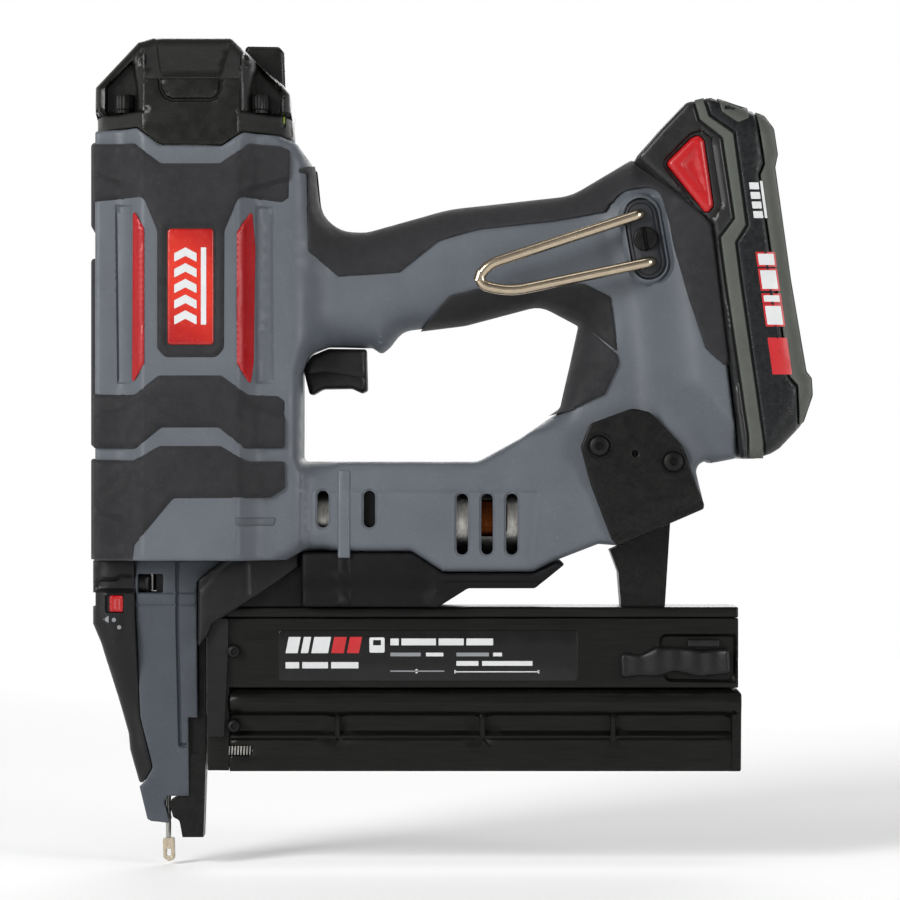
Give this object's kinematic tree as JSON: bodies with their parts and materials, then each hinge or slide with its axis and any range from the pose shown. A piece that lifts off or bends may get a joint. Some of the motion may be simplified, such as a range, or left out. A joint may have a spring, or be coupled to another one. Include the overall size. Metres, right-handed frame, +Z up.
{
  "type": "cordless brad nailer",
  "caption": "Cordless brad nailer with an air-spring barrel, angled handle, slide-on battery, belt hook, motor arm and side-loading magazine.",
  "frame": {"origin": "centre of the grip, on the tool's mid-plane", "axes": "+Z is up with the nose pointing down, +X runs from the barrel to the battery, -Y is the side with the belt hook"},
  "size_m": [0.2764, 0.0764, 0.3169],
  "materials": {
    "housing": "fine spark-eroded texture",
    "rubber": "soft-touch overmould",
    "black_plastic": "satin",
    "red_plastic": "satin",
    "trim_plastic": "satin",
    "black_steel": "black oxide",
    "steel": "machined",
    "nickel_wire": "satin nickel",
    "aluminium": "drawn",
    "clear_tip": "translucent",
    "label": "printed film",
    "board": "solder mask",
    "brass": "plated",
    "bumper_rubber": "moulded",
    "cell_wrap": "shrink film"
  },
  "bodies": {
    "tool": {"housing_left": "housing", "housing_right": "housing", "barrel_grip_left": "rubber", "barrel_grip_right": "rubber", "front_bumper": "rubber", "grip_rubber": "rubber", "accent_strips": "red_plastic", "badges": "red_plastic", "top_cap": "black_plastic", "cap_bolts": "black_steel", "nose_front_cover": "black_plastic", "nose_cover": "housing", "nose_guards": "black_plastic", "nose_plate_front": "black_steel", "nose_plate_rear": "black_steel", "arm_guard": "black_plastic", "brackets": "black_steel", "bracket_bolts": "black_steel", "magazine_post": "black_steel", "pressure_vessel": "aluminium", "cylinder": "aluminium", "bumper": "bumper_rubber", "gearbox_case": "steel", "motor_can": "steel", "motor_end_cap": "black_plastic", "trigger_pin": "steel", "trigger_switch": "black_plastic", "circuit_board": "board", "terminal_block": "brass", "depth_screw": "steel", "magazine_body": "black_plastic", "magazine_bracket": "black_plastic", "magazine_screws": "black_steel", "magazine_label": "label", "brad_strip": "steel", "belt_hook": "nickel_wire", "hook_plates": "black_plastic", "hook_screw": "black_steel"},
    "trigger": {"trigger": "black_plastic"},
    "contact_element": {"contact_wire": "steel", "contact_spring": "steel", "no_mar_tip": "clear_tip"},
    "depth_wheel": {"depth_wheel": "steel"},
    "mode_slider": {"mode_slider": "red_plastic"},
    "magazine_slider": {"magazine_slider": "black_plastic"},
    "pusher": {"pusher": "black_steel"},
    "latch": {"magazine_latch": "black_plastic"},
    "battery": {"battery_case": "black_plastic", "battery_cells": "cell_wrap"},
    "release_button_left": {"release_button_left": "red_plastic"},
    "release_button_right": {"release_button_right": "red_plastic"},
    "driver": {"piston": "aluminium", "piston_seal": "bumper_rubber", "driver_blade": "steel"},
    "lifter": {"lifter": "steel", "planet_carrier": "steel"},
    "planet_1": {"planet_1": "steel"},
    "planet_2": {"planet_2": "steel"},
    "planet_3": {"planet_3": "steel"},
    "rotor": {"rotor": "steel"}
  },
  "joints": [
    {"name": "trigger_pivot", "type": "hinge", "parent": "tool", "child": "trigger", "pos_m": [-0.0566, 0, -0.0396], "axis": [0, -1, 0], "range_deg": [0, 7], "stiffness_Nm_per_rad": 0.6, "springref_deg": -2.86},
    {"name": "contact_slide", "type": "slide", "parent": "tool", "child": "contact_element", "axis": [0, 0, 1], "range_m": [0, 0.009], "stiffness_N_per_m": 400, "springref_m": -0.004},
    {"name": "depth_wheel_turn", "type": "hinge", "parent": "tool", "child": "depth_wheel", "pos_m": [-0.1202, 0, -0.12], "axis": [0, 0, 1], "continuous": true},
    {"name": "mode_slide", "type": "slide", "parent": "tool", "child": "mode_slider", "axis": [-1, 0, 0], "range_m": [0, 0.003]},
    {"name": "magazine_slide", "type": "slide", "parent": "tool", "child": "magazine_slider", "axis": [1, 0, 0], "range_m": [0, 0.125]},
    {"name": "pusher_slide", "type": "slide", "parent": "magazine_slider", "child": "pusher", "axis": [1, 0, 0], "range_m": [0, 0.04], "stiffness_N_per_m": 15, "springref_m": -0.15},
    {"name": "latch_pivot", "type": "hinge", "parent": "tool", "child": "latch", "pos_m": [0.091, -0.0149, -0.151], "axis": [0, 0, 1], "range_deg": [0, 6], "stiffness_Nm_per_rad": 0.3, "springref_deg": -5.73},
    {"name": "battery_slide", "type": "slide", "parent": "tool", "child": "battery", "axis": [-0.124, 0, 0.9923], "range_m": [0, 0.09]},
    {"name": "release_left", "type": "slide", "parent": "battery", "child": "release_button_left", "axis": [0, 1, 0], "range_m": [0, 0.0025], "stiffness_N_per_m": 1500, "springref_m": -0.0015},
    {"name": "release_right", "type": "slide", "parent": "battery", "child": "release_button_right", "axis": [0, -1, 0], "range_m": [0, 0.0025], "stiffness_N_per_m": 1500, "springref_m": -0.0015},
    {"name": "lifter_turn", "type": "hinge", "parent": "tool", "child": "lifter", "pos_m": [-0.1016, 0, -0.096], "axis": [1, 0, 0], "range_deg": [-541, 1]},
    {"name": "driver_slide", "type": "slide", "parent": "tool", "child": "driver", "axis": [0, 0, 1], "range_m": [-0.08482, 0]},
    {"name": "rotor_turn", "type": "hinge", "parent": "tool", "child": "rotor", "pos_m": [-0.02, 0, -0.096], "axis": [1, 0, 0], "range_deg": [-2431, 1]},
    {"name": "planet_1_turn", "type": "hinge", "parent": "lifter", "child": "planet_1", "pos_m": [-0.057, 0.0081, -0.096], "axis": [1, 0, 0], "range_deg": [-1, 1513]},
    {"name": "planet_2_turn", "type": "hinge", "parent": "lifter", "child": "planet_2", "pos_m": [-0.057, -0.00405, -0.08899], "axis": [1, 0, 0], "range_deg": [-1, 1513]},
    {"name": "planet_3_turn", "type": "hinge", "parent": "lifter", "child": "planet_3", "pos_m": [-0.057, -0.00405, -0.10301], "axis": [1, 0, 0], "range_deg": [-1, 1513]}
  ],
  "couplings": [
    {"joint": "lifter_turn", "follows": "driver_slide", "rad_per_m": 111.11},
    {"joint": "rotor_turn", "follows": "driver_slide", "rad_per_m": 500},
    {"joint": "planet_1_turn", "follows": "driver_slide", "rad_per_m": -311.11},
    {"joint": "planet_2_turn", "follows": "driver_slide", "rad_per_m": -311.11},
    {"joint": "planet_3_turn", "follows": "driver_slide", "rad_per_m": -311.11}
  ]
}
